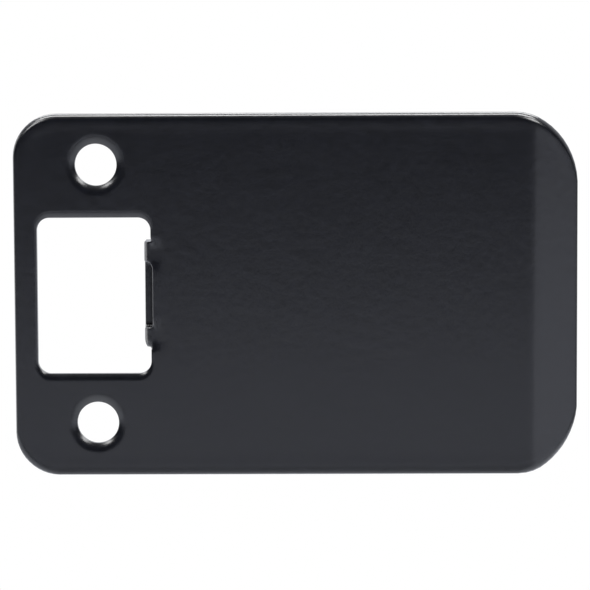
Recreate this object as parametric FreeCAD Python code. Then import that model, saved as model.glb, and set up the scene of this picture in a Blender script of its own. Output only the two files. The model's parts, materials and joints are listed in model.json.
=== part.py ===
import FreeCAD, Part
import math
import os

# Extended-lip strike plate with an adjusting tang, one piece of pressed and bent sheet steel.
#
# Frame: the plate as it sits on a door jamb. +Z is up, +X points along the plate to the bent
# lip, and the latch side of the plate faces -Y. The back face, which lies on the jamb, is the
# plane y = 0. The origin is on the back face, half way between the screw holes. Lengths are mm.

# Blank
WIDTH = 88.9
HEIGHT = 57.15
THICKNESS = 1.5
STRAIGHT_END_X = -13.0
STRAIGHT_END_CORNER = 6.8
LIP_END_CORNER = 11.0
RIM_ROUNDING = 0.5

# Lip, bent back towards the jamb
LIP_BEND_START_X = 67.5
LIP_BEND_RADIUS = 9.0
LIP_ANGLE = 25.0

# Screw holes
SCREW_SPACING = 40.8
SCREW_HOLE_DIAMETER = 6.6
COUNTERSINK_DIAMETER = 9.2
COUNTERSINK_DEPTH = 0.7

# Latch opening
OPENING_LOW_X = -9.4
OPENING_HIGH_X = 8.6
OPENING_HEIGHT = 24.7
OPENING_DROP = 0.1
OPENING_CORNER = 2.0
OPENING_ROUNDING = 0.8

# Tang, bent back into the jamb from the lip side of the opening
TANG_FACE_X = 7.5
TANG_HEIGHT = 16.8
TANG_BEND_RADIUS = 2.0
TANG_REACH = 6.5
TANG_END_CORNER = 2.0
TANG_ROOT_OVERLAP = 0.6

# Slot through the root of the tang, for a screwdriver blade
SLOT_HEIGHT = 10.4
SLOT_EDGE_X = 8.8
SLOT_FLOOR_Y = 0.9
SLOT_CORNER = 0.7

# Room that a cutting tool runs past the sheet
CLEARANCE = 5.0

LIP_TIP_X = STRAIGHT_END_X + WIDTH
FRONT_Y = -THICKNESS


def wire(points):
    """Join points into a closed wire. A tuple of three is an arc through its middle point."""
    edges = []
    here = points[0]
    for step in points[1:]:
        if isinstance(step, tuple):
            middle, end = step
            edges.append(Part.Arc(here, middle, end).toShape())
        else:
            end = step
            edges.append(Part.LineSegment(here, end).toShape())
        here = end
    return Part.Wire(edges)


def flat(x, y):
    """A point of a side profile, which lies in the plane z = 0."""
    return FreeCAD.Vector(x, y, 0.0)


def front(x, z):
    """A point of a front outline, which lies in the plane y = 0."""
    return FreeCAD.Vector(x, 0.0, z)


def rounded_outline(low_x, high_x, height, low_corner, high_corner):
    """Closed front outline of a rectangle with one corner radius at each end, centred on z = 0."""
    top = height / 2.0
    half = math.sqrt(0.5)

    def corner(centre_x, centre_z, radius, side_x, side_z, end):
        middle = front(centre_x + side_x * half * radius, centre_z + side_z * half * radius)
        return (middle, end)

    low_x_flat = low_x + low_corner
    high_x_flat = high_x - high_corner
    low_z = top - low_corner
    high_z = top - high_corner
    return wire([
        front(low_x_flat, top),
        front(high_x_flat, top),
        corner(high_x_flat, high_z, high_corner, 1, 1, front(high_x, high_z)),
        front(high_x, -high_z),
        corner(high_x_flat, -high_z, high_corner, 1, -1, front(high_x_flat, -top)),
        front(low_x_flat, -top),
        corner(low_x_flat, -low_z, low_corner, -1, -1, front(low_x, -low_z)),
        front(low_x, low_z),
        corner(low_x_flat, low_z, low_corner, -1, 1, front(low_x_flat, top)),
    ])


def prism_through(outline, low_y, high_y):
    """Extrude a front outline along Y, from low_y to high_y."""
    solid = Part.Face(outline).extrude(FreeCAD.Vector(0.0, high_y - low_y, 0.0))
    solid.translate(FreeCAD.Vector(0.0, low_y, 0.0))
    return solid


def slab(profile, height):
    """Extrude a side profile along Z, centred on z = 0."""
    solid = Part.Face(profile).extrude(FreeCAD.Vector(0.0, 0.0, height))
    solid.translate(FreeCAD.Vector(0.0, 0.0, -height / 2.0))
    return solid


def on_arc(centre, radius, angle):
    """Point of an arc that leaves the flat of the sheet at angle 0 and turns towards +Y."""
    turn = math.radians(angle)
    return flat(centre.x + radius * math.sin(turn), centre.y - radius * math.cos(turn))


def bent_sheet():
    """Side profile of the plate with its lip, extruded over the height and past the lip's tip."""
    centre = flat(LIP_BEND_START_X, FRONT_Y + LIP_BEND_RADIUS)
    inner_radius = LIP_BEND_RADIUS - THICKNESS
    turn = math.radians(LIP_ANGLE)
    past_tip = (LIP_TIP_X + CLEARANCE - LIP_BEND_START_X) / math.cos(turn)
    along = flat(past_tip * math.cos(turn), past_tip * math.sin(turn))
    outer_end = on_arc(centre, LIP_BEND_RADIUS, LIP_ANGLE)
    inner_end = on_arc(centre, inner_radius, LIP_ANGLE)
    low_x = STRAIGHT_END_X - CLEARANCE
    profile = wire([
        flat(low_x, FRONT_Y),
        flat(LIP_BEND_START_X, FRONT_Y),
        (on_arc(centre, LIP_BEND_RADIUS, LIP_ANGLE / 2.0), outer_end),
        outer_end + along,
        inner_end + along,
        inner_end,
        (on_arc(centre, inner_radius, LIP_ANGLE / 2.0), flat(LIP_BEND_START_X, 0.0)),
        flat(low_x, 0.0),
        flat(low_x, FRONT_Y),
    ])
    return slab(profile, HEIGHT + 2.0 * CLEARANCE)


def latch_side_y(x):
    """Height of the sheet's latch-side surface at x."""
    beyond = x - LIP_BEND_START_X
    turn = math.radians(LIP_ANGLE)
    bend_width = LIP_BEND_RADIUS * math.sin(turn)
    if beyond <= 0.0:
        return FRONT_Y
    if beyond <= bend_width:
        return FRONT_Y + LIP_BEND_RADIUS - math.sqrt(LIP_BEND_RADIUS ** 2 - beyond ** 2)
    bend_drop = LIP_BEND_RADIUS * (1.0 - math.cos(turn))
    return FRONT_Y + bend_drop + (beyond - bend_width) * math.tan(turn)


def round_latch_side(solid, outline, radius):
    """Round the edges that the outline makes with the sheet's latch-side surface."""
    near = 0.001
    edges = []
    for edge in solid.Edges:
        middle = edge.valueAt((edge.FirstParameter + edge.LastParameter) / 2.0)
        on_outline = outline.distToShape(Part.Vertex(front(middle.x, middle.z)))[0] < near
        on_surface = abs(middle.y - latch_side_y(middle.x)) < near
        if on_outline and on_surface:
            edges.append(edge)
    return solid.makeFillet(radius, edges)


def plate():
    """The bent sheet, cut to its outline, with its latch-side rim rounded."""
    outline = rounded_outline(STRAIGHT_END_X, LIP_TIP_X, HEIGHT, STRAIGHT_END_CORNER, LIP_END_CORNER)
    depth = latch_side_y(LIP_TIP_X) + THICKNESS
    blank = bent_sheet().common(prism_through(outline, FRONT_Y - CLEARANCE, depth + CLEARANCE))
    return round_latch_side(blank, outline, RIM_ROUNDING)


def screw_hole(z):
    """Tool that cuts one countersunk screw hole, centred at height z."""
    along = FreeCAD.Vector(0.0, 1.0, 0.0)
    hole_radius = SCREW_HOLE_DIAMETER / 2.0
    sink_radius = COUNTERSINK_DIAMETER / 2.0
    start = FreeCAD.Vector(0.0, FRONT_Y, z)
    hole = Part.makeCylinder(hole_radius, THICKNESS + 2.0 * CLEARANCE,
                             FreeCAD.Vector(0.0, FRONT_Y - CLEARANCE, z), along)
    sink = Part.makeCone(sink_radius, hole_radius, COUNTERSINK_DEPTH, start, along)
    return hole.fuse(sink)


def tang():
    """The tang: sheet that leaves the plate, turns a right angle and runs into the jamb."""
    centre = flat(TANG_FACE_X + TANG_BEND_RADIUS, FRONT_Y + TANG_BEND_RADIUS)
    inner_radius = TANG_BEND_RADIUS - THICKNESS
    root_x = centre.x + TANG_ROOT_OVERLAP
    profile = wire([
        flat(root_x, FRONT_Y),
        flat(centre.x, FRONT_Y),
        (on_arc(centre, TANG_BEND_RADIUS, -45.0), flat(TANG_FACE_X, centre.y)),
        flat(TANG_FACE_X, TANG_REACH),
        flat(TANG_FACE_X + THICKNESS, TANG_REACH),
        flat(TANG_FACE_X + THICKNESS, centre.y),
        (on_arc(centre, inner_radius, -45.0), flat(centre.x, 0.0)),
        flat(root_x, 0.0),
        flat(root_x, FRONT_Y),
    ])
    body = slab(profile, TANG_HEIGHT)
    ends = [edge for edge in body.Edges
            if abs(edge.BoundBox.YMin - TANG_REACH) < 0.001
            and abs(edge.BoundBox.ZLength) < 0.001]
    return body.makeFillet(TANG_END_CORNER, ends)


def slot():
    """Tool that cuts the slot through the bend at the tang's root."""
    past_tang = TANG_FACE_X - CLEARANCE
    outline = rounded_outline(past_tang, SLOT_EDGE_X, SLOT_HEIGHT, SLOT_CORNER, SLOT_CORNER)
    return prism_through(outline, FRONT_Y - CLEARANCE, SLOT_FLOOR_Y)


def strike_plate():
    """The whole part as one solid."""
    solid = plate()
    for side in (-1, 1):
        solid = solid.cut(screw_hole(side * SCREW_SPACING / 2.0))
    opening = rounded_outline(OPENING_LOW_X, OPENING_HIGH_X, OPENING_HEIGHT,
                              OPENING_CORNER, OPENING_CORNER)
    opening.translate(FreeCAD.Vector(0.0, 0.0, -OPENING_DROP))
    solid = solid.cut(prism_through(opening, FRONT_Y - CLEARANCE, CLEARANCE))
    solid = round_latch_side(solid, opening, OPENING_ROUNDING)
    solid = solid.fuse(tang()).cut(slot()).removeSplitter()
    return solid.Solids[0]


os.makedirs("parts", exist_ok=True)
shape = strike_plate()
shape.exportStep("parts/strike_plate.step")
box = shape.BoundBox
print("strike_plate valid", shape.isValid(), "volume", round(shape.Volume, 2))
print("x", round(box.XMin, 3), round(box.XMax, 3), "y", round(box.YMin, 3), round(box.YMax, 3),
      "z", round(box.ZMin, 3), round(box.ZMax, 3))
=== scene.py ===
"""Extended-lip strike plate with an adjusting tang, in satin black powder coat.

The plate is drawn as the flat blank that goes into the press: its outline, the latch opening
with the tang's tab in it, the slot at the tab's root and the two screw holes. The blank's face
is then shaped (rolled edges, pressed screw seats) and bent (the lip, the tang), in the order in
which the real one is made. Lengths are in millimetres until a mesh is written.
"""

import json
import logging
import math
from collections.abc import Sequence
from dataclasses import dataclass, field
from enum import Enum

import bmesh
import bpy
import numpy as np
from mathutils import Matrix, Vector
from mathutils.geometry import delaunay_2d_cdt


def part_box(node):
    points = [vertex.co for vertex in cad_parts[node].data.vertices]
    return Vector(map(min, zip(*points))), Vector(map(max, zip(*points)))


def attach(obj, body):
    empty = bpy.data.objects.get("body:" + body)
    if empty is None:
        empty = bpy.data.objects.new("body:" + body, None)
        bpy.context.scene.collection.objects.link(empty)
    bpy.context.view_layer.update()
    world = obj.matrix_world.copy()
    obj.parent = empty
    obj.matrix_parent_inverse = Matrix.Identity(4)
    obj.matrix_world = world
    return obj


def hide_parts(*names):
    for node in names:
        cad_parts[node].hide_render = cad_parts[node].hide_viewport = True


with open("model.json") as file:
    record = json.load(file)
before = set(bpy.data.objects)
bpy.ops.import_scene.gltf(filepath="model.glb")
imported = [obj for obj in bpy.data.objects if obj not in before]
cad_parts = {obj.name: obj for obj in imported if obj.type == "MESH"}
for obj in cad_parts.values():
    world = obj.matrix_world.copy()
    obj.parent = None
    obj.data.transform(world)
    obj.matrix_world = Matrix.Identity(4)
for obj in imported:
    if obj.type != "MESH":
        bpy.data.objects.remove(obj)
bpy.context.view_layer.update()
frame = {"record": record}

MM = 0.001
TINY = 1e-12
NODE = "strike_plate"
BODY = "root"
COOL = (0.95, 0.98, 1.1)
WHITE = (1.0, 1.0, 1.0, 1.0)
WATTS_PER_BRIGHT_SQUARE_METRE = math.pi

log = logging.getLogger("strike_plate")


def in_mm(values: Sequence[float]) -> list[float]:
    """Lengths in metres as a list in millimetres."""
    return [value / MM for value in values]


def ease(values: np.ndarray | float) -> np.ndarray:
    """A smooth step from 0 to 1 as the values go from 0 to 1."""
    held = np.clip(values, 0.0, 1.0)
    return held * held * (3.0 - 2.0 * held)


# ---------------------------------------------------------------------------------------------
# Lines on the blank
# ---------------------------------------------------------------------------------------------


@dataclass(frozen=True)
class Corner:
    """A corner of a cut line.

    Args:
        u: place along the plate.
        v: place up the plate.
        radius: radius of the cut line in the corner.
        rolled: radius of the rolled edge on the side that leaves this corner.
        swell: how much wider the rolled edge is in the middle of the corner.
    """

    u: float
    v: float
    radius: float
    rolled: float
    swell: float = 0.0


@dataclass
class CutLine:
    """A closed line on the blank with the metal on its left.

    Args:
        points: places along the line, one row each.
        inward: at each point, the unit direction into the metal.
        rolled: at each point, the radius of the rolled edge.
    """

    points: np.ndarray
    inward: np.ndarray
    rolled: np.ndarray

    STEP = 0.4
    ARC_STEP = math.radians(7.5)
    LEAST_ARC_STEPS = 4
    HOLE_STEPS = 72

    @classmethod
    def around(cls, corners: Sequence[Corner]) -> "CutLine":
        """Run a line round rounded corners.

        Args:
            corners: the corners in order, with the metal on the left.

        Returns:
            The closed line.
        """
        places = np.array([(corner.u, corner.v) for corner in corners])
        count = len(corners)
        along = np.roll(places, -1, axis=0) - places
        lengths = np.linalg.norm(along, axis=1)
        along /= lengths[:, None]
        starts, ends, arcs = [], [], []
        for index, corner in enumerate(corners):
            arriving, leaving = along[index - 1], along[index]
            turn = math.atan2(
                arriving[0] * leaving[1] - arriving[1] * leaving[0], float(arriving @ leaving)
            )
            reach = corner.radius * math.tan(abs(turn) / 2.0)
            ends.append(places[index] - arriving * reach)
            starts.append(places[index] + leaving * reach)
            arcs.append(turn)
        points, inward, rolled = [], [], []
        for index, corner in enumerate(corners):
            before = corners[index - 1].rolled
            arriving = along[index - 1]
            left = np.array((-arriving[1], arriving[0]))
            side = math.copysign(1.0, arcs[index])
            centre = ends[index] + left * side * corner.radius
            steps = max(cls.LEAST_ARC_STEPS, math.ceil(abs(arcs[index]) / cls.ARC_STEP))
            for step in range(steps + 1):
                share = step / steps
                angle = arcs[index] * share
                spun = np.array((
                    left[0] * math.cos(angle) - left[1] * math.sin(angle),
                    left[0] * math.sin(angle) + left[1] * math.cos(angle),
                ))
                points.append(centre - spun * side * corner.radius)
                inward.append(spun)
                wider = corner.swell * math.sin(share * math.pi)
                rolled.append(before + (corner.rolled - before) * float(ease(share)) + wider)
            following = (index + 1) % count
            run = ends[following] - starts[index]
            pieces = max(1, round(float(np.linalg.norm(run)) / cls.STEP))
            straight = np.array((-along[index][1], along[index][0]))
            for piece in range(1, pieces):
                points.append(starts[index] + run * piece / pieces)
                inward.append(straight)
                rolled.append(corner.rolled)
        return cls(np.array(points), np.array(inward), np.array(rolled))

    @classmethod
    def circle(cls, centre: tuple[float, float], radius: float, rolled: float) -> "CutLine":
        """Run a line round a hole.

        Args:
            centre: the hole's centre.
            radius: the hole's radius.
            rolled: width of the shaped edge round it.

        Returns:
            The closed line.
        """
        count = cls.HOLE_STEPS
        angles = -np.arange(count) * math.tau / count
        inward = np.column_stack((np.cos(angles), np.sin(angles)))
        return cls(np.array(centre) + inward * radius, inward, np.full(count, rolled))

    def inset(self, distance: np.ndarray | float) -> np.ndarray:
        """The line moved into the metal by a distance."""
        return self.points + self.inward * np.reshape(distance, (-1, 1))


def holds(line: np.ndarray, places: np.ndarray) -> np.ndarray:
    """Say which places lie inside a closed line.

    Args:
        line: the line's points in order.
        places: the places to test, one row each.

    Returns:
        One truth value for each place.
    """
    inside = np.zeros(len(places), bool)
    for (u0, v0), (u1, v1) in zip(line, np.roll(line, -1, axis=0)):
        if v0 == v1:
            continue
        crossing = (v0 > places[:, 1]) != (v1 > places[:, 1])
        inside ^= crossing & (places[:, 0] < u0 + (places[:, 1] - v0) * (u1 - u0) / (v1 - v0))
    return inside


def in_metal(outer: np.ndarray, holes: Sequence[np.ndarray], places: np.ndarray) -> np.ndarray:
    """Say which places lie inside an outer line and outside every hole.

    Args:
        outer: the outer line's points in order.
        holes: each hole's points in order.
        places: the places to test, one row each.

    Returns:
        One truth value for each place.
    """
    kept = holds(outer, places)
    for hole in holes:
        kept &= ~holds(hole, places)
    return kept


def distance_to(line: np.ndarray, places: np.ndarray) -> np.ndarray:
    """Distance from each place to a closed line.

    Args:
        line: the line's points in order.
        places: the places, one row each.

    Returns:
        One distance for each place.
    """
    nearest = np.full(len(places), np.inf)
    for start, end in zip(line, np.roll(line, -1, axis=0)):
        run = end - start
        share = np.clip((places - start) @ run / max(float(run @ run), TINY), 0.0, 1.0)
        gap = places - start - share[:, None] * run
        nearest = np.minimum(nearest, np.einsum("ij,ij->i", gap, gap))
    return np.sqrt(nearest)


# ---------------------------------------------------------------------------------------------
# The shaped edges
# ---------------------------------------------------------------------------------------------


class EdgeForm(Enum):
    """How the face of the sheet goes over a cut edge."""

    ROLLED = "rolled"
    PRESSED = "pressed"


@dataclass(frozen=True)
class EdgeShape:
    """The way from the face, over an edge, down its wall and on to the back.

    Args:
        form: the edge's form.
        thickness: thickness of the sheet.
        fullness: how deep the shaped edge goes, as a share of its width.
        burr: size of the break between the wall and the back.
    """

    form: EdgeForm
    thickness: float
    fullness: float = 1.0
    burr: float = 0.12

    RINGS = 12
    COLLAR = 0.35
    PRESSED_POWER = 2.6

    def stations(self, rolled: np.ndarray) -> list[tuple[np.ndarray, np.ndarray]]:
        """Give the rings of an edge, from the face to the back.

        Args:
            rolled: width of the shaped edge at each point of the cut line.

        Returns:
            For each ring, how far it lies in the metal and how deep, at each point.
        """
        rings = [(rolled + self.COLLAR, np.zeros_like(rolled))]
        for ring in range(self.RINGS + 1):
            share = ring / self.RINGS
            if self.form is EdgeForm.ROLLED:
                angle = share * math.pi / 2.0
                sunk = rolled * self.fullness * (1.0 - math.cos(angle))
                rings.append((rolled * (1.0 - math.sin(angle)), sunk))
            else:
                sunk = rolled * self.fullness * share ** self.PRESSED_POWER
                rings.append((rolled * (1.0 - share), sunk))
        nothing = np.zeros_like(rolled)
        rings.append((nothing, nothing + self.thickness - self.burr))
        rings.append((nothing + self.burr, nothing + self.thickness))
        return rings


# ---------------------------------------------------------------------------------------------
# The bends
# ---------------------------------------------------------------------------------------------


@dataclass(frozen=True)
class Lip:
    """The lip, bent back towards the jamb.

    Args:
        start: where the bend starts along the plate.
        radius: radius of the bend on the face.
        angle: angle of the bend in degrees.
    """

    start: float = 67.5
    radius: float = 9.0
    angle: float = 25.0

    def face(self, u: np.ndarray) -> tuple[np.ndarray, np.ndarray, np.ndarray]:
        """Follow the face round the bend.

        Args:
            u: places along the blank.

        Returns:
            The place along the plate, the depth behind the flat face and the turn, in radians.
        """
        full = math.radians(self.angle)
        arc = self.radius * full
        beyond = np.maximum(u - self.start, 0.0)
        turn = np.minimum(beyond / self.radius, full)
        straight = np.maximum(beyond - arc, 0.0)
        x = np.minimum(u, self.start) + self.radius * np.sin(turn) + straight * math.cos(full)
        deep = self.radius * (1.0 - np.cos(turn)) + straight * math.sin(full)
        return x, deep, turn

    def rolled_off(self, rolled: float) -> float:
        """How far a rolled edge of this radius pulls the tip's outermost point back."""
        full = math.radians(self.angle)
        return rolled * (math.cos(full) + math.sin(full) - 1.0)

    def unrolled(self, x: float) -> float:
        """Place along the blank of a point on the lip's straight part, seen at x."""
        full = math.radians(self.angle)
        arc_width = self.radius * math.sin(full)
        return self.start + self.radius * full + (x - self.start - arc_width) / math.cos(full)


@dataclass(frozen=True)
class Tang:
    """The tang, bent back into the jamb from the lip side of the latch opening.

    Args:
        face_x: where its face stands, seen from the latch side.
        reach: how far it goes behind the back of the plate.
        thickness: thickness of the sheet.
        half_height: half its height.
        draw_start: where the face of the plate starts to draw in towards the bend.
        draw_angle: how far the face has turned where the tight bend starts, in degrees.
        draw_length: length of the drawn-in stretch.
        inner_radius: radius on the inside of the tight bend.
    """

    face_x: float
    reach: float
    thickness: float
    half_height: float = 8.4
    draw_start: float = 11.0
    draw_angle: float = 14.0
    draw_length: float = 2.5
    inner_radius: float = 0.35

    @property
    def bend_radius(self) -> float:
        """Radius of the tight bend on the face."""
        turned = math.radians(self.draw_angle)
        drawn = self.draw_length * math.sin(turned) / turned
        return (self.draw_start - drawn - self.face_x) / (1.0 - math.sin(turned))

    @property
    def bend_length(self) -> float:
        """Length of the face from the start of the draw to the end of the tight bend."""
        tight = math.radians(90.0 - self.draw_angle) * self.bend_radius
        return self.draw_length + tight

    def face(self, along: np.ndarray) -> tuple[np.ndarray, np.ndarray]:
        """Follow the face from the start of the draw towards the tip.

        Args:
            along: distances along the blank from the start of the draw.

        Returns:
            The place along the plate and the depth behind the flat face.
        """
        turned = math.radians(self.draw_angle)
        curve = turned / self.draw_length
        drawing = np.clip(along, 0.0, self.draw_length)
        x = self.draw_start - np.sin(drawing * curve) / curve
        deep = (1.0 - np.cos(drawing * curve)) / curve
        radius = self.bend_radius
        turn = turned + np.clip(along - self.draw_length, 0.0, None) / radius
        turn = np.minimum(turn, math.pi / 2.0)
        x -= radius * (np.sin(turn) - math.sin(turned))
        deep += radius * (math.cos(turned) - np.cos(turn))
        deep += np.maximum(along - self.bend_length, 0.0)
        return x, deep

    def back(self, along: np.ndarray) -> tuple[np.ndarray, np.ndarray]:
        """Follow the back of the sheet to match the face.

        Args:
            along: distances along the blank from the start of the draw.

        Returns:
            The place along the plate and the depth behind the flat face.
        """
        share = np.clip(along / self.bend_length, 0.0, 1.0)
        inner_x = self.face_x + self.thickness
        run = self.draw_start - inner_x - self.inner_radius
        arc = self.inner_radius * math.pi / 2.0
        travelled = share * (run + arc)
        turn = np.clip((travelled - run) / self.inner_radius, 0.0, math.pi / 2.0)
        x = self.draw_start - np.minimum(travelled, run) - self.inner_radius * np.sin(turn)
        deep = self.thickness + self.inner_radius * (1.0 - np.cos(turn))
        leg = self.length - self.bend_length
        left = self.reach - self.inner_radius
        deep += np.clip((along - self.bend_length) / leg, 0.0, 1.0) * left
        return x, deep

    @property
    def length(self) -> float:
        """Length of the tab on the blank from the start of the draw to the tip."""
        _, deep = self.face(np.array([self.bend_length]))
        return self.bend_length + self.reach + self.thickness - float(deep[0])

    def along_at_depth(self, deep: float) -> float:
        """Distance along the blank at which the face stands at a depth on the straight leg."""
        _, bend_deep = self.face(np.array([self.bend_length]))
        return self.bend_length + deep - float(bend_deep[0])


# ---------------------------------------------------------------------------------------------
# The edges of the plate
# ---------------------------------------------------------------------------------------------


@dataclass(frozen=True)
class Rim:
    """The outer edge of the plate, rolled over, with a bead of coat beside it.

    Args:
        straight_corner: corner radius at the straight end.
        lip_corner: corner radius at the top of the lip.
        low_lip_corner: corner radius at the foot of the lip.
        rolled: radius of the rolled edge.
        top_rolled: radius of the rolled edge along the top.
        swells: how much wider the rolled edge is in each corner, from the foot of the straight
            end round by the lip.
        bead_height: height of the bead.
        bead_place: distance of the bead from the cut line.
        bead_width: width of the bead.
        fall_depth: how far the face falls from the bead to the cut line.
        fall_width: width of that fall.
    """

    straight_corner: float = 6.8
    lip_corner: float = 11.0
    low_lip_corner: float = 10.3
    rolled: float = 0.45
    top_rolled: float = 1.0
    swells: tuple[float, float, float, float] = (0.4, 1.1, 0.6, 0.2)
    bead_height: float = 0.028
    bead_place: float = 1.5
    bead_width: float = 0.9
    fall_depth: float = 0.05
    fall_width: float = 1.3

    def line(self, low: float, tip: float, half: float) -> CutLine:
        """Draw the outer cut line.

        Args:
            low: place of the straight end along the blank.
            tip: place of the lip's tip along the blank.
            half: half the plate's height.

        Returns:
            The closed line.
        """
        return CutLine.around([
            Corner(low, -half, self.straight_corner, self.rolled, self.swells[0]),
            Corner(tip, -half, self.low_lip_corner, self.rolled, self.swells[1]),
            Corner(tip, half, self.lip_corner, self.top_rolled, self.swells[2]),
            Corner(low, half, self.straight_corner, self.rolled, self.swells[3]),
        ])

    def raised(self, gap: np.ndarray) -> np.ndarray:
        """Height of the bead, less the fall, at distances from the cut line."""
        raised = self.bead_height * np.exp(-(((gap - self.bead_place) / self.bead_width) ** 2))
        fall = self.fall_depth * np.clip(1.0 - gap / self.fall_width, 0.0, None) ** 2
        return raised - fall


@dataclass(frozen=True)
class LatchOpening:
    """The latch opening, with the tang's tab in its cut line.

    Args:
        low: its side away from the lip.
        high: its side towards the lip.
        half_height: half its height.
        drop: how far its middle lies below the plate's middle.
        corner: its corner radius.
        rolled: width of the pressed edge along its top and foot.
        side_rolled: width of the pressed edge along its sides.
        fullness: how deep the pressed edge goes, as a share of its width.
        root_corner: radius where the tab's top side leaves the plate.
        low_root_corner: radius where the tab's lower side leaves the plate.
        tab_corner: corner radius at the tab's tip.
        tab_top_rolled: width of the pressed edge along the tab's top side.
        tab_tip_rolled: width of the pressed edge along the tab's tip.
        tab_low_rolled: width of the pressed edge along the tab's lower side.
        tab_cut: how much nearer to the middle the tab's lower side lies.
    """

    low: float = -9.4
    high: float = 8.55
    half_height: float = 12.35
    drop: float = 0.12
    corner: float = 2.0
    rolled: float = 1.3
    side_rolled: float = 0.7
    fullness: float = 0.25
    root_corner: float = 0.3
    low_root_corner: float = 0.8
    tab_corner: float = 2.0
    tab_top_rolled: float = 0.35
    tab_tip_rolled: float = 0.4
    tab_low_rolled: float = 1.4
    tab_cut: float = 0.15

    def line(self, tang: Tang) -> CutLine:
        """Draw the cut line round the opening and the tang's tab."""
        low, high = self.low, self.high
        top = self.half_height - self.drop
        foot = -self.half_height - self.drop
        rolled, side, corner = self.rolled, self.side_rolled, self.corner
        root, tip = tang.half_height, tang.draw_start - tang.length
        low_root = -root + self.tab_cut
        return CutLine.around([
            Corner(low, top, corner, rolled),
            Corner(high, top, corner, side),
            Corner(high, root, self.root_corner, self.tab_top_rolled),
            Corner(tip, root, self.tab_corner, self.tab_tip_rolled),
            Corner(tip, low_root, self.tab_corner, self.tab_low_rolled),
            Corner(high, low_root, self.low_root_corner, side),
            Corner(high, foot, corner, rolled),
            Corner(low, foot, corner, side),
        ])


@dataclass(frozen=True)
class RootSlot:
    """The slot at the root of the tang, for a screwdriver blade.

    Args:
        edge: its side in the plate, along the plate.
        floor: depth below the face of its side in the tang.
        half_height: half its height.
        floor_corner: corner radius in the tang.
        top_corner: upper corner radius in the plate.
        low_corner: lower corner radius in the plate.
        rolled: radius of the rolled edge round it.
        burr: size of the break between its wall and the back.
    """

    edge: float = 8.8
    floor: float = 2.8
    half_height: float = 5.2
    floor_corner: float = 0.5
    top_corner: float = 1.2
    low_corner: float = 0.6
    rolled: float = 0.25
    burr: float = 0.42

    def line(self, tang: Tang) -> CutLine:
        """Draw the cut line, on the blank of a tang."""
        half = self.half_height
        floor = tang.draw_start - tang.along_at_depth(self.floor)
        return CutLine.around([
            Corner(floor, half, self.floor_corner, self.rolled),
            Corner(self.edge, half, self.top_corner, self.rolled),
            Corner(self.edge, -half, self.low_corner, self.rolled),
            Corner(floor, -half, self.floor_corner, self.rolled),
        ])


@dataclass(frozen=True)
class ScrewSeats:
    """The two screw holes and the pressed seats round them.

    Args:
        spacing: distance between the holes.
        radius: radius of a hole.
        lift: how far the pair stands above the plate's middle.
        width: width of a seat.
        fullness: how deep a seat goes, as a share of its width.
    """

    spacing: float
    radius: float
    lift: float = 0.15
    width: float = 1.75
    fullness: float = 0.28

    def lines(self) -> list[CutLine]:
        """Draw the cut lines of the upper and the lower hole."""
        half = self.spacing / 2.0
        return [
            CutLine.circle((0.0, place + self.lift), self.radius, self.width)
            for place in (half, -half)
        ]


@dataclass(frozen=True)
class TangRoot:
    """Where the sheet passes from the flat plate to the tang, above and below the slot.

    Args:
        tang: the tang.
        opening: the latch opening.
        slot: the slot at the tang's root.
        margin: how far past the tang's tip the bend is still followed.
        spread_start: how far inside the opening's edge the root starts to spread.
        spread_width: width over which it spreads.
        spread_drop: how much lower the spread root stands.
        soft: width of the soft passage beside the tang.
        spread_soft: how much wider that passage is on the spread root.
        slot_rise: how far the root rises round the slot's end.
        slot_soft: height of the soft passage beside the slot.
        slot_drop: how much further that passage reaches past the slot's end.
        slot_start: how far past the slot's end that reach begins.
        slot_width: width over which both grow.
        keep_start: how far before the slot's end the tang is whole again.
        keep_width: width over which it becomes whole.
        grip: width of the passage on the back.
    """

    tang: Tang
    opening: LatchOpening
    slot: RootSlot
    margin: float = 1.0
    spread_start: float = 0.7
    spread_width: float = 1.2
    spread_drop: float = 1.2
    soft: float = 1.3
    spread_soft: float = 0.7
    slot_rise: float = 1.5
    slot_soft: float = 1.3
    slot_drop: float = 1.6
    slot_start: float = 0.2
    slot_width: float = 1.2
    keep_start: float = 1.2
    keep_width: float = 0.8
    grip: float = 0.5

    def beside(self, u: np.ndarray) -> np.ndarray:
        """Say which places along the plate can belong to the tang or to its root."""
        start = self.tang.draw_start
        return (u < start) & (u > start - self.tang.length - self.margin)

    def past_slot(self, u: np.ndarray, below: np.ndarray) -> np.ndarray:
        """Make the tang whole again where the slot has ended."""
        return np.maximum(
            below, 1.0 - ease((u - self.slot.edge + self.keep_start) / self.keep_width)
        )

    def drawn_in(self, u: np.ndarray, v: np.ndarray) -> np.ndarray:
        """How far each place follows the tang's face, from 0 on the plate to 1 on the tab."""
        height = np.abs(v)
        away = ease((u - self.opening.high + self.spread_start) / self.spread_width)
        outer = self.tang.half_height - self.spread_drop * away
        above = 1.0 - ease((height - outer) / (self.soft + self.spread_soft * away))
        half, edge = self.slot.half_height, self.slot.edge
        inner = half + self.slot_rise * ease((u - edge) / self.slot_width)
        reach = ease((u - edge - self.slot_start) / self.slot_width)
        low = half - self.slot_soft - self.slot_drop * reach
        below = self.past_slot(u, ease((height - low) / (inner - low)))
        return np.where(self.beside(u), above * below, 0.0)

    def gripped(self, u: np.ndarray, v: np.ndarray) -> np.ndarray:
        """How far the back of each place follows the inside of the tang's bend."""
        height = np.abs(v)
        above = 1.0 - ease((height - self.tang.half_height) / self.grip)
        below = self.past_slot(u, ease((height - self.slot.half_height + self.grip) / self.grip))
        return np.where(self.beside(u), above * below, 0.0)


# ---------------------------------------------------------------------------------------------
# The plate
# ---------------------------------------------------------------------------------------------


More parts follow.
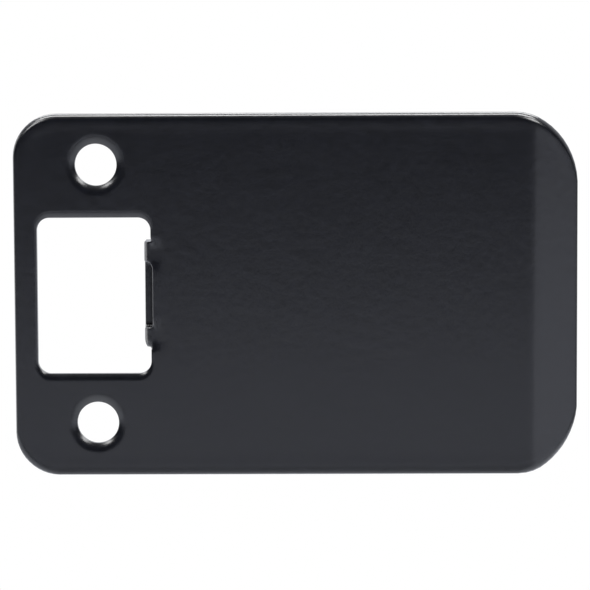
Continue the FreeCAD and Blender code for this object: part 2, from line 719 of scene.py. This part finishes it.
class Blank:
    """The mesh of the flat blank while it is put together."""

    GRID_CLEARANCE = 0.6
    WELD = 1e-7

    def __init__(self, fine: float) -> None:
        """Start with nothing; fine is the spacing of the grid that fills the face and back."""
        self.fine = fine
        self.points: list[np.ndarray] = []
        self.faces: list[tuple[int, ...]] = []
        self.face_rims: list[range] = []
        self.back_rims: list[range] = []
        self.total = 0

    def add(self, points: np.ndarray) -> range:
        """Add points.

        Args:
            points: rows of place along, place up and depth below the face.

        Returns:
            Their numbers in the mesh.
        """
        self.points.append(points)
        first = self.total
        self.total += len(points)
        return range(first, self.total)

    def edge(self, line: CutLine, shape: EdgeShape) -> None:
        """Add the whole way over one edge, from the face to the back."""
        count = len(line.points)
        rings = [
            self.add(np.column_stack((line.inset(inset), deep)))
            for inset, deep in shape.stations(line.rolled)
        ]
        for here, there in zip(rings, rings[1:]):
            for step in range(count):
                following = (step + 1) % count
                self.faces.append(
                    (here[step], here[following], there[following], there[step])
                )
        self.face_rims.append(rings[0])
        self.back_rims.append(rings[-1])

    def fill(self, rims: Sequence[range], deep: float) -> None:
        """Fill the metal between rims.

        Args:
            rims: the outer rim first, then the rim of every hole.
            deep: depth of the filled surface below the face.
        """
        everything = np.vstack(self.points)
        places, filled = self.filling([everything[list(rim), :2] for rim in rims])
        added = self.add(np.column_stack((places, np.full(len(places), deep))))
        index = [number for rim in rims for number in rim] + list(added)
        self.faces += [tuple(index[corner] for corner in face) for face in filled]

    def filling(self, rims: Sequence[np.ndarray]) -> tuple[np.ndarray, np.ndarray]:
        """Work out a fine grid of faces between rims.

        Args:
            rims: places on the outer rim first, then on the rim of every hole.

        Returns:
            The grid's own places, and faces as triples into the rims' points and then the grid.
        """
        outer, holes = rims[0], rims[1:]
        low, high = outer.min(axis=0), outer.max(axis=0)
        counts = np.ceil((high - low) / self.fine).astype(int)
        along = np.linspace(low[0], high[0], counts[0] + 1)[1:-1]
        upward = np.linspace(low[1], high[1], counts[1] + 1)[1:-1]
        places = np.array(np.meshgrid(along, upward)).reshape(2, -1).T
        places = places[in_metal(outer, holes, places)]
        for rim in rims:
            places = places[distance_to(rim, places) > self.fine * self.GRID_CLEARANCE]
        edges, first = [], 0
        for rim in rims:
            count = len(rim)
            edges += [(first + step, first + (step + 1) % count) for step in range(count)]
            first += count
        everything = np.vstack([*rims, places])
        found = delaunay_2d_cdt([Vector(place) for place in everything], edges, [], 0, self.WELD)
        if len(found[0]) != len(everything):
            raise ValueError("two points of the blank coincide or two cut lines cross")
        faces = np.array(found[2])
        middles = everything[faces].mean(axis=1)
        return places, faces[in_metal(outer, holes, middles)]


@dataclass
class StrikePlate:
    """The whole plate: one piece of pressed and bent sheet.

    The overall sizes, the screw holes and the tang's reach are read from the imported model.

    Args:
        low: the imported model's lowest x, y and z.
        high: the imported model's highest x, y and z.
        seats: the screw holes and their seats.
        rim: the outer edge.
        opening: the latch opening.
        slot: the slot at the tang's root.
        lip: the bent lip.
        tang_face: place of the tang's face along the plate.
        fine: spacing of the grid that fills the face and the back.
        name: the finished object's name.
    """

    low: Sequence[float]
    high: Sequence[float]
    seats: ScrewSeats
    rim: Rim = field(default_factory=Rim)
    opening: LatchOpening = field(default_factory=LatchOpening)
    slot: RootSlot = field(default_factory=RootSlot)
    lip: Lip = field(default_factory=Lip)
    tang_face: float = 7.47
    fine: float = 0.5
    name: str = "strike_plate_coated"

    PAIRED_FLATNESS = math.radians(5.0)
    PAIRED_SHAPE = math.radians(30.0)
    CRISP = math.radians(35.0)

    def __post_init__(self) -> None:
        """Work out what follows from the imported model."""
        self.thickness = -self.low[1]
        self.tang = Tang(self.tang_face, self.high[1], self.thickness)
        self.root = TangRoot(self.tang, self.opening, self.slot)
        tip = self.lip.unrolled(self.high[0] + self.lip.rolled_off(self.rim.rolled))
        self.outline = self.rim.line(self.low[0], tip, self.high[2])

    def edges(self) -> list[tuple[CutLine, EdgeShape]]:
        """Every cut line with the shape of its edge, the outer one first."""
        rolled, pressed = EdgeForm.ROLLED, EdgeForm.PRESSED
        seat = EdgeShape(pressed, self.thickness, self.seats.fullness)
        edges = [
            (self.outline, EdgeShape(rolled, self.thickness)),
            (self.opening.line(self.tang),
             EdgeShape(pressed, self.thickness, self.opening.fullness)),
            (self.slot.line(self.tang), EdgeShape(rolled, self.thickness, burr=self.slot.burr)),
        ]
        return edges + [(hole, seat) for hole in self.seats.lines()]

    def bent(self, flat: np.ndarray) -> np.ndarray:
        """Take points of the flat blank to their places on the finished plate.

        Args:
            flat: rows of place along, place up and depth below the face.

        Returns:
            Rows of x, y and z.
        """
        u, v, deep = flat.T
        lip_x, lip_deep, turn = self.lip.face(u)
        x = lip_x - deep * np.sin(turn)
        y = lip_deep + deep * np.cos(turn)
        along = np.maximum(self.tang.draw_start - u, 0.0)
        face_x, face_deep = self.tang.face(along)
        back_x, back_deep = self.tang.back(along)
        share = deep / self.thickness
        drawn = self.root.drawn_in(u, v)
        gripped = self.root.gripped(u, v)
        near = along > 0.0
        x += np.where(near, (face_x - u) * drawn + share * (back_x - face_x) * gripped, 0.0)
        y += face_deep * drawn + share * (back_deep - face_deep - self.thickness) * gripped
        gap = distance_to(self.outline.points, np.column_stack((u, v)))
        y -= (1.0 - share) * self.rim.raised(gap)
        return np.column_stack((x, y - self.thickness, v))

    def build(self) -> bpy.types.Object:
        """Make the plate's mesh.

        Returns:
            The finished object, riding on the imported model's body.
        """
        blank = Blank(self.fine)
        for line, shape in self.edges():
            blank.edge(line, shape)
        blank.fill(blank.face_rims, 0.0)
        blank.fill(blank.back_rims, self.thickness)
        points = self.bent(np.vstack(blank.points)) * MM
        mesh = bpy.data.meshes.new(self.name)
        mesh.from_pydata(points.tolist(), [], blank.faces)
        self.clean(mesh)
        piece = bpy.data.objects.new(self.name, mesh)
        bpy.context.scene.collection.objects.link(piece)
        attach(piece, BODY)
        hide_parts(NODE)
        log.info("%s: %d faces", self.name, len(mesh.polygons))
        return piece

    def clean(self, mesh: bpy.types.Mesh) -> None:
        """Pair the triangles, turn every face outward and mark the crisp edges."""
        work = bmesh.new()
        work.from_mesh(mesh)
        triangles = [face for face in work.faces if len(face.verts) == 3]
        bmesh.ops.join_triangles(
            work, faces=triangles, angle_face_threshold=self.PAIRED_FLATNESS,
            angle_shape_threshold=self.PAIRED_SHAPE,
        )
        bmesh.ops.recalc_face_normals(work, faces=work.faces)
        work.to_mesh(mesh)
        work.free()
        mesh.shade_smooth()
        mesh.set_sharp_from_angle(angle=self.CRISP)

    def dress(self, piece: bpy.types.Object, coat: "PowderCoat") -> None:
        """Put the coat on the plate."""
        piece.data.materials.append(coat.material())


# ---------------------------------------------------------------------------------------------
# Finish
# ---------------------------------------------------------------------------------------------


class Reading:
    """A value in a node tree that can be used in sums."""

    def __init__(self, tree: "Wiring", socket: bpy.types.NodeSocket) -> None:
        """Wrap an output socket of a tree."""
        self.tree = tree
        self.socket = socket

    def _sum(self, operation: str, *values: "Reading | float") -> "Reading":
        """Add a Math node."""
        return self.tree.node("ShaderNodeMath", {"operation": operation}, dict(enumerate(values)))

    def __add__(self, other: "Reading | float") -> "Reading":
        """Sum."""
        return self._sum("ADD", self, other)

    def __radd__(self, other: float) -> "Reading":
        """Sum with a number on the left."""
        return self._sum("ADD", other, self)

    def __sub__(self, other: "Reading | float") -> "Reading":
        """Difference."""
        return self._sum("SUBTRACT", self, other)

    def __rsub__(self, other: float) -> "Reading":
        """Difference from a number."""
        return self._sum("SUBTRACT", other, self)

    def __mul__(self, other: "Reading | float") -> "Reading":
        """Product."""
        return self._sum("MULTIPLY", self, other)

    def __rmul__(self, other: float) -> "Reading":
        """Product with a number on the left."""
        return self._sum("MULTIPLY", other, self)


class Wiring:
    """The nodes of one material or world."""

    def __init__(self, owner: bpy.types.Material | bpy.types.World) -> None:
        """Start with an empty tree."""
        owner.use_nodes = True
        self.nodes = owner.node_tree.nodes
        self.links = owner.node_tree.links
        self.nodes.clear()

    def node(
        self,
        kind: str,
        settings: dict[str, object] | None = None,
        values: dict[str | int, object] | None = None,
        output: str | int = 0,
    ) -> Reading:
        """Add a node.

        Args:
            kind: the node's type.
            settings: its properties, set first.
            values: numbers, colours or readings for its inputs, by name or place.
            output: the output to read.

        Returns:
            A reading of that output.
        """
        made = self._made(kind, settings, values)
        return Reading(self, made.outputs[output])

    def noise(self, place: Reading, scale: float, detail: float, roughness: float) -> Reading:
        """Add a solid noise.

        Args:
            place: where it is read.
            scale: how fine it is.
            detail: how many finer layers it has.
            roughness: how strong the finer layers are.

        Returns:
            A reading of the noise.
        """
        return self.node(
            "ShaderNodeTexNoise", {"noise_dimensions": "3D"},
            {"Vector": place, "Scale": scale, "Detail": detail, "Roughness": roughness},
        )

    def finish(self, kind: str, shader: Reading) -> None:
        """Add the output node that shows a shader."""
        self._made(kind, {}, {"Surface": shader})

    def _made(
        self,
        kind: str,
        settings: dict[str, object] | None,
        values: dict[str | int, object] | None,
    ) -> bpy.types.Node:
        """Create a node, give it its settings, then its values and links."""
        made = self.nodes.new(kind)
        for name, setting in (settings or {}).items():
            setattr(made, name, setting)
        for name, value in (values or {}).items():
            if isinstance(value, Reading):
                self.links.new(value.socket, made.inputs[name])
            else:
                made.inputs[name].default_value = value
        return made


@dataclass(frozen=True)
class PowderCoat:
    """Satin black powder coat with a faint orange peel.

    Args:
        colour: colour of the coat.
        roughness: how wide its reflections spread.
        mottling: how far the colour strays to either side.
        mottle_scale: how fine the mottling is.
        cloud_scale: how fine the broad waves are.
        peel_scale: how fine the orange peel is.
        grain_scale: how fine the powder's grain is.
        cloud_height: height of the broad waves; the orange peel's is 1.
        grain_height: height of the powder's grain; the orange peel's is 1.
        bump_strength: how much of the height shows.
        bump_distance: the orange peel's height, in metres.
        cloud_gloss: how far the broad waves change the roughness.
        mottle_gloss: how far the mottling changes the roughness.
        grain_gloss: how far the grain changes the roughness.
        mottle_share: share of the mottling in the colour.
        cloud_share: share of the broad waves in the colour.
    """

    colour: tuple[float, float, float] = (0.0015, 0.0018, 0.0032)
    roughness: float = 0.25
    mottling: float = 0.9
    mottle_scale: float = 800.0
    cloud_scale: float = 160.0
    peel_scale: float = 750.0
    grain_scale: float = 4200.0
    cloud_height: float = 1.2
    grain_height: float = 0.05
    bump_strength: float = 0.4
    bump_distance: float = 0.000038
    cloud_gloss: float = 0.03
    mottle_gloss: float = 0.03
    grain_gloss: float = 0.02
    mottle_share: float = 0.8
    cloud_share: float = 0.2

    MIDDLE = 0.5
    IOR = 1.5
    MIX_FIRST, MIX_SECOND, MIX_RESULT = 6, 7, 2

    def tint(self, factor: float) -> tuple[float, float, float, float]:
        """The coat's colour times a factor, with full cover."""
        return tuple(part * factor for part in self.colour) + (1.0,)

    def material(self) -> bpy.types.Material:
        """Make the coat's material."""
        made = bpy.data.materials.new("satin_black_powder_coat")
        wiring = Wiring(made)
        place = wiring.node("ShaderNodeTexCoord", output="Object")
        peel = wiring.noise(place, self.peel_scale, 2.0, 0.5)
        grain = wiring.noise(place, self.grain_scale, 3.0, 0.6)
        cloud = wiring.noise(place, self.cloud_scale, 2.0, 0.5)
        mottle = wiring.noise(place, self.mottle_scale, 2.0, 0.6)
        height = peel + cloud * self.cloud_height + grain * self.grain_height
        bump = wiring.node(
            "ShaderNodeBump", {},
            {"Strength": self.bump_strength, "Distance": self.bump_distance, "Height": height},
        )
        rough = self.roughness + (cloud - self.MIDDLE) * self.cloud_gloss
        rough = rough + (mottle - self.MIDDLE) * self.mottle_gloss
        rough = rough + (grain - self.MIDDLE) * self.grain_gloss
        share = mottle * self.mottle_share + cloud * self.cloud_share
        colour = wiring.node(
            "ShaderNodeMix", {"data_type": "RGBA"},
            {
                "Factor": share,
                self.MIX_FIRST: self.tint(1.0 - self.mottling),
                self.MIX_SECOND: self.tint(1.0 + self.mottling),
            },
            output=self.MIX_RESULT,
        )
        shader = wiring.node(
            "ShaderNodeBsdfPrincipled", {},
            {"Base Color": colour, "Roughness": rough, "Normal": bump, "IOR": self.IOR},
        )
        wiring.finish("ShaderNodeOutputMaterial", shader)
        return made


# ---------------------------------------------------------------------------------------------
# Studio
# ---------------------------------------------------------------------------------------------


@dataclass(frozen=True)
class Softbox:
    """A soft lamp that faces the plate.

    Args:
        name: the lamp's name.
        azimuth: where it stands round the plate, in degrees; 0 is in front and 90 at the lip.
        elevation: how high it stands, in degrees.
        distance: how far it stands from the plate, in metres.
        size: its width and height, in metres.
        brightness: how bright its face looks; a white wall in full light is 1.
        colour: colour of its light.
    """

    name: str
    azimuth: float
    elevation: float
    distance: float
    size: tuple[float, float]
    brightness: float
    colour: tuple[float, float, float] = (1.0, 1.0, 1.0)

    def build(self, centre: Vector) -> None:
        """Stand the lamp and aim it at the plate."""
        lamp = bpy.data.lights.new(self.name, "AREA")
        lamp.shape = "RECTANGLE"
        lamp.size, lamp.size_y = self.size
        lamp.energy = self.brightness * lamp.size * lamp.size_y * WATTS_PER_BRIGHT_SQUARE_METRE
        lamp.color = self.colour
        stand = bpy.data.objects.new(self.name, lamp)
        bpy.context.scene.collection.objects.link(stand)
        stand.matrix_world = aimed(centre, self.azimuth, self.elevation, self.distance, 0.0)
        stand.visible_camera = False


def aimed(
    target: Vector, azimuth: float, elevation: float, distance: float, roll: float
) -> Matrix:
    """Place a camera or lamp round a target, facing it.

    Args:
        target: the point to face.
        azimuth: degrees round from the front, towards the lip.
        elevation: degrees above the horizon.
        distance: metres from the target.
        roll: degrees turned about the line of sight.

    Returns:
        The matrix of the camera or lamp.
    """
    turn, rise = math.radians(azimuth), math.radians(elevation)
    back = Vector((
        math.sin(turn) * math.cos(rise), -math.cos(turn) * math.cos(rise), math.sin(rise)
    ))
    facing = (-back).to_track_quat("-Z", "Y").to_matrix().to_4x4()
    spin = Matrix.Rotation(math.radians(roll), 4, "Z")
    return Matrix.Translation(target + back * distance) @ facing @ spin


@dataclass(frozen=True)
class Studio:
    """Camera, soft lamps, pale floor and white background.

    Args:
        azimuth: where the camera stands round the plate, in degrees.
        elevation: how high the camera stands, in degrees.
        roll: how far the camera is turned about its line of sight, in degrees.
        distance: how far the camera stands from the plate, in metres.
        lens: focal length in millimetres.
        aim_left: how far left of the plate's middle the camera aims, in millimetres.
        aim_low: how far below the plate's middle the camera aims, in millimetres.
        floor_drop: how far the floor lies below the plate's middle, in metres.
        floor_half: half the floor's side, in metres.
        floor_colour: colour of the floor.
        floor_roughness: roughness of the floor.
        dim: brightness of the room where the camera stands.
        fade: how far in front of and behind the plate the room goes from dim to white.
        room_colour: colour of the room's light.
    """

    azimuth: float = 0.8
    elevation: float = 5.1
    roll: float = -0.27
    distance: float = 0.45
    lens: float = 174.45
    aim_left: float = 0.2
    aim_low: float = 0.06
    floor_drop: float = 0.35
    floor_half: float = 1.2
    floor_colour: tuple[float, float, float] = (0.68, 0.70, 0.75)
    floor_roughness: float = 0.8
    dim: float = 0.02
    fade: float = 0.3
    room_colour: tuple[float, float, float] = (0.97, 0.99, 1.05)

    LAMPS = (
        Softbox("overhead_softbox", 0.0, 82.0, 0.9, (1.2, 0.2), 26.0),
        Softbox("rear_softbox", 180.0, 52.0, 0.9, (0.9, 0.35), 9.0),
        Softbox("left_softbox", -43.0, 40.0, 0.9, (0.28, 0.28), 15.0),
        Softbox("right_softbox", 43.0, 40.0, 0.9, (0.38, 0.3), 15.0),
        Softbox("front_reflector", 0.0, -9.1, 0.9, (0.95, 0.085), 2.0, COOL),
        Softbox("left_reflector", -60.0, -13.0, 0.9, (1.1, 0.26), 1.0, COOL),
        Softbox("left_window", -105.0, 0.0, 0.9, (0.5, 1.0), 2.6),
        Softbox("right_reflector", 48.0, -9.0, 0.9, (0.75, 0.3), 1.4, COOL),
    )

    def camera(self, centre: Vector) -> None:
        """Make the camera."""
        lens = bpy.data.cameras.new("camera")
        lens.lens = self.lens
        camera = bpy.data.objects.new("camera", lens)
        bpy.context.scene.collection.objects.link(camera)
        target = centre - Vector((self.aim_left, 0.0, self.aim_low)) * MM
        camera.matrix_world = aimed(
            target, self.azimuth, self.elevation, self.distance, self.roll
        )
        bpy.context.scene.camera = camera

    def floor(self) -> None:
        """Lay the pale floor."""
        half = self.floor_half
        mesh = bpy.data.meshes.new("floor")
        corners = [(-half, -half), (half, -half), (half, half), (-half, half)]
        mesh.from_pydata([(x, y, -self.floor_drop) for x, y in corners], [], [(0, 1, 2, 3)])
        floor = bpy.data.objects.new("floor", mesh)
        bpy.context.scene.collection.objects.link(floor)
        made = bpy.data.materials.new("pale_floor")
        wiring = Wiring(made)
        shader = wiring.node(
            "ShaderNodeBsdfPrincipled", {},
            {"Base Color": (*self.floor_colour, 1.0), "Roughness": self.floor_roughness},
        )
        wiring.finish("ShaderNodeOutputMaterial", shader)
        mesh.materials.append(made)

    def background(self) -> None:
        """Light the room: white behind the plate, dark where the camera stands."""
        world = bpy.data.worlds.new("studio")
        bpy.context.scene.world = world
        wiring = Wiring(world)
        place = wiring.node("ShaderNodeTexCoord", output="Generated")
        behind = wiring.node("ShaderNodeSeparateXYZ", {}, {"Vector": place}, output="Y")
        bright = wiring.node(
            "ShaderNodeMapRange", {"interpolation_type": "SMOOTHSTEP"},
            {
                "Value": behind, "From Min": -self.fade, "From Max": self.fade,
                "To Min": self.dim, "To Max": 1.0,
            },
        )
        seen = wiring.node("ShaderNodeBackground", {}, {"Color": WHITE, "Strength": 1.0})
        around = wiring.node(
            "ShaderNodeBackground", {}, {"Color": (*self.room_colour, 1.0), "Strength": bright}
        )
        by_camera = wiring.node("ShaderNodeLightPath", output="Is Camera Ray")
        shader = wiring.node("ShaderNodeMixShader", {}, {0: by_camera, 1: around, 2: seen})
        wiring.finish("ShaderNodeOutputWorld", shader)

    def build(self, centre: Vector) -> None:
        """Set up the whole studio round the plate."""
        self.camera(centre)
        self.floor()
        self.background()
        for lamp in self.LAMPS:
            lamp.build(centre)
        view = bpy.context.scene.view_settings
        view.view_transform = "Standard"
        view.look = "None"
        log.info("studio: %d lamps", len(self.LAMPS))


def screw_seats() -> ScrewSeats:
    """The screw holes and their seats, with the sizes in the record."""
    mount = next(m for m in frame["record"]["mounts"] if m["name"] == "screw_holes")
    return ScrewSeats(mount["dims"]["spacing_y_mm"], mount["dims"]["hole_r_mm"])


def main() -> None:
    """Build the plate, dress it and set up the studio."""
    logging.basicConfig(level=logging.INFO, format="%(name)s: %(message)s")
    low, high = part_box(NODE)
    plate = StrikePlate(in_mm(low), in_mm(high), screw_seats())
    piece = plate.build()
    plate.dress(piece, PowderCoat())
    face = Vector(((low.x + high.x) / 2.0, low.y, (low.z + high.z) / 2.0))
    Studio().build(face)


if __name__ == "__main__":
    main()
